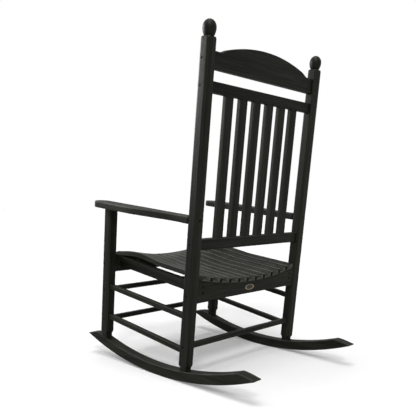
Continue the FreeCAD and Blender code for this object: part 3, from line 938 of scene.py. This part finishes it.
# %% [markdown]
# A small oval plate sits in the middle of the rear apron, and its field is bare. It is
# stamped from thin aluminium. The rolled rim is anodised in a brass tone, which gives a
# warm and soft metal shine, and the field is enamelled dark brown, which is smoother
# than the plastic around it. The surface is an ellipse scaled out from its middle, with
# the height of each ring giving the rim. Real brushing is finer than the 0.8 mm lines
# drawn here, which would not show otherwise.

# %% Bare badge plate

BADGE_LENGTH = 51 * MM
BADGE_WIDTH = 22 * MM
BADGE_HEIGHT = 321.5 * MM
BRUSH_WIDTH, BRUSH_DETAIL = 0.8 * MM, 3
BRUSH_STRETCH = (0.05, 1, 1)
BRUSH_RANGE = (0.3, 0.7)
SMOOTHER, ROUGHER = 0.08, 0.1


def plate_material(name, colours, metallic, roughness, ior=None):
    """Stamped sheet: colour and gloss vary over a fine brushed pattern along the plate."""
    material, tree, shader = new_material(name, roughness, ior)
    shader.inputs["Metallic"].default_value = metallic
    place = add_node(tree, "TexCoord").outputs["Object"]
    stretched = add_node(tree, "Mapping", {"Vector": place}, i3=BRUSH_STRETCH)
    brushed = {"Vector": stretched.outputs[0]}
    lines = add_node(tree, "TexNoise", brushed, i2=1 / BRUSH_WIDTH, i3=BRUSH_DETAIL).outputs["Fac"]
    tone = add_node(tree, "ValToRGB", {"Fac": lines})
    for stop, stop_place, shade in zip(tone.color_ramp.elements, BRUSH_RANGE, colours):
        stop.position = stop_place
        stop.color = linear(shade)
    spread = {"i3": roughness - SMOOTHER, "i4": roughness + ROUGHER}
    gloss = add_node(tree, "MapRange", {"Value": lines}, **spread)
    tree.links.new(tone.outputs["Color"], shader.inputs["Base Color"])
    tree.links.new(gloss.outputs["Result"], shader.inputs["Roughness"])
    return material


RIM_COLOURS = ("#9a8a6e", "#cdbfa2")
FIELD_COLOURS = ("#2c2823", "#4a4238")
ENAMEL_IOR = 1.45
rim_metal = plate_material("stamped_brass_toned_rim", RIM_COLOURS, metallic=0.6, roughness=0.38)
field_enamel = plate_material(
    "dark_enamelled_field", FIELD_COLOURS, metallic=0.0, roughness=0.35, ior=ENAMEL_IOR
)
BADGE_SCALE = np.array([0.02, 0.30, 0.60, 0.78, 0.84, 0.88, 0.93, 0.97, 1.0, 1.0])
BADGE_RISE = np.array([0.75, 0.72, 0.62, 0.55, 0.9, 1.35, 1.5, 1.3, 0.8, 0.0]) * MM
FIELD_RINGS = 3
OVAL_POINTS = 72
oval = np.linspace(0, 2 * np.pi, OVAL_POINTS, endpoint=False)
badge = leaned(
    REAR_ORIGIN, REAR_LEAN,
    BADGE_SCALE[:, None] * BADGE_LENGTH / 2 * np.cos(oval),
    APRON_REAR_FACE + BADGE_RISE[:, None],
    BADGE_HEIGHT + BADGE_SCALE[:, None] * BADGE_WIDTH / 2 * np.sin(oval),
)
plate = skin("bare_badge_plate", badge, rim_metal, edge=0)
plate.data.materials.append(field_enamel)
slots = np.zeros(len(plate.data.polygons), int)
slots[:FIELD_RINGS * OVAL_POINTS] = 1
# The last two faces are the caps, and the first of them closes the middle of the field.
slots[-2] = 1
plate.data.polygons.foreach_set("material_index", slots)
print("badge plate of", len(BADGE_SCALE), "rings")

# %% [markdown]
# The picture was taken on a white sweep. A plain white floor keeps the soft shadow. It
# and the sky are brighter to the camera than to the chair, so the background is white
# and the light on the chair stays at a plain level. A mask of ray kinds tells who looks.

# %% Who looks at the background

FLOOR_IN_GLOSS = 0.2
SKY_IN_GLOSS = 0.25


def seen_directly(tree, glossy_share):
    """Light Path mask: one for camera and transmission rays, a share for glossy rays."""
    path = add_node(tree, "LightPath").outputs
    straight = {0: path["Is Camera Ray"], 1: path["Is Transmission Ray"]}
    either = add_node(tree, "Math", straight, operation="MAXIMUM")
    shine = {0: path["Is Glossy Ray"]}
    glossy = add_node(tree, "Math", shine, operation="MULTIPLY", i1=glossy_share)
    mask = {0: either.outputs[0], 1: glossy.outputs[0]}
    return add_node(tree, "Math", mask, operation="MAXIMUM").outputs[0]


print("a reflection sees", FLOOR_IN_GLOSS, "of the floor's glow and", SKY_IN_GLOSS, "of the sky's")

# %% [markdown]
# The floor is matt white paint. To the camera it is lighter paint with a faint glow,
# which lifts it to the paper white of the picture without filling the shadow.

# %% White floor

HALF_FLOOR = 40.0
FLOOR_GLOW = 0.23
FLOOR_FOR_LIGHT, FLOOR_FOR_EYE = (0.3, 0.3, 0.3, 1), (0.8, 0.8, 0.8, 1)
floor_paint = bpy.data.materials.new("white_studio_floor")
floor_paint.use_nodes = True
tree = floor_paint.node_tree
tree.nodes.clear()
seen = seen_directly(tree, FLOOR_IN_GLOSS)
paint = add_node(tree, "MixRGB", {0: seen}, i1=FLOOR_FOR_LIGHT, i2=FLOOR_FOR_EYE)
matt = add_node(tree, "BsdfDiffuse", {0: paint.outputs[0]})
strength = add_node(tree, "Math", {0: seen}, operation="MULTIPLY", i1=FLOOR_GLOW)
glow = add_node(tree, "Emission", {"Strength": strength.outputs[0]})
both = add_node(tree, "AddShader", {0: matt.outputs[0], 1: glow.outputs[0]})
add_node(tree, "OutputMaterial", {"Surface": both.outputs[0]})

corners = HALF_FLOOR * np.array([(-1, -1, 0), (1, -1, 0), (1, 1, 0), (-1, 1, 0)])
floor_mesh = bpy.data.meshes.new("studio_floor")
floor_mesh.from_pydata(corners.tolist(), [], [(0, 1, 2, 3)])
floor_mesh.materials.append(floor_paint)
floor = bpy.data.objects.new("studio_floor", floor_mesh)
bpy.context.scene.collection.objects.link(floor)
print("a floor of %.0f m" % (2 * HALF_FLOOR))

# %% [markdown]
# The sky is white to the camera and a weak, even light to everything else, like the
# light that comes back from the walls of a studio.

# %% White sky

SKY_LIGHT = 0.30
world = bpy.data.worlds.new("white_sweep")
bpy.context.scene.world = world
world.use_nodes = True
tree = world.node_tree
tree.nodes.clear()
seen = seen_directly(tree, SKY_IN_GLOSS)
share = {"i1": 1 - SKY_LIGHT, "i2": SKY_LIGHT}
level = add_node(tree, "Math", {0: seen}, operation="MULTIPLY_ADD", **share)
sky = add_node(tree, "Background", {"Strength": level.outputs[0]}, i0=(1, 1, 1, 1))
add_node(tree, "OutputWorld", {"Surface": sky.outputs[0]})
print("the sky lights the chair at", SKY_LIGHT)

# %% [markdown]
# A broad light hangs overhead like a studio ceiling and gives the soft shadow under the
# seat. A weaker one comes from behind the camera and draws the edges of that shadow.
# A soft box stands to the camera's left, beyond the chair, where the upper posts mirror
# it as a pale band on their left faces.

# %% Lamps

SUN_DISTANCE = 5.0


def stand(right, up, back, place):
    """World matrix whose columns are the object's own axes and its place."""
    columns = [(*right, 0), (*up, 0), (*back, 0), (*place, 1)]
    return Matrix(columns).transposed()


def hang_lamp(name, kind, power, back, place):
    """A lamp at place that shines along -back; its right is (0, 0, 1) x back."""
    lamp = bpy.data.lights.new(name, kind)
    lamp.energy = power
    holder = bpy.data.objects.new(name, lamp)
    right = np.cross((0, 0, 1), back)
    right = right / np.linalg.norm(right)
    holder.matrix_world = stand(right, np.cross(back, right), back, place)
    bpy.context.scene.collection.objects.link(holder)
    return lamp


def soft_sun(name, towards, angle, power):
    """A sun whose disc is broad, so its shadow is soft and the floor is evenly lit."""
    back = np.array(towards, float) / np.linalg.norm(towards)
    hang_lamp(name, "SUN", power, back, back * SUN_DISTANCE).angle = np.radians(angle)


def soft_box(name, place, target, size, spread, power):
    """A square area lamp at place, turned to face the target, its beam as wide as spread."""
    back = np.array(place, float) - np.array(target, float)
    lamp = hang_lamp(name, "AREA", power, back / np.linalg.norm(back), place)
    lamp.size = size
    lamp.spread = np.radians(spread)


soft_sun("studio_ceiling", towards=(0.1, 0, 1), angle=33, power=1.5)
soft_sun("studio_window", towards=(0.7, 0.7, 1), angle=12, power=1.1)
STRIP_PLACE, STRIP_TARGET = (1.0, -2.3, 1.9), (0.3, 0.15, 1.2)
soft_box("left_strip", STRIP_PLACE, STRIP_TARGET, size=1.1, spread=50, power=8)
print(len(bpy.data.lights), "lamps")

# %% [markdown]
# The camera was found by fitting the chair's edges in the picture: it stands behind the
# chair and to its left, a little above the armrests, and looks slightly down. The
# picture was framed upwards, which the lens shift repeats.

# %% Camera

CAMERA_PLACE = (1.5245, 1.4606, 0.6466)
AZIMUTH, PITCH = np.radians(134.88), np.radians(6.063)
IMAGE_SIDE = 416
FOCAL_PIXELS = 518.99
CENTRE_ROW = 256.83
SENSOR = 36
lens = bpy.data.cameras.new("camera")
lens.sensor_width = SENSOR
lens.lens = SENSOR * FOCAL_PIXELS / IMAGE_SIDE
lens.shift_y = (CENTRE_ROW - IMAGE_SIDE / 2) / IMAGE_SIDE
camera = bpy.data.objects.new("camera", lens)
right = np.array([np.cos(AZIMUTH), np.sin(AZIMUTH), 0])
back = np.array([np.sin(AZIMUTH) * np.cos(PITCH), -np.cos(AZIMUTH) * np.cos(PITCH), np.sin(PITCH)])
camera.matrix_world = stand(right, np.cross(back, right), back, CAMERA_PLACE)
bpy.context.scene.collection.objects.link(camera)
bpy.context.scene.camera = camera
bpy.context.scene.view_settings.view_transform = "Standard"
print("lens %.1f mm, shift %.3f" % (lens.lens, lens.shift_y))
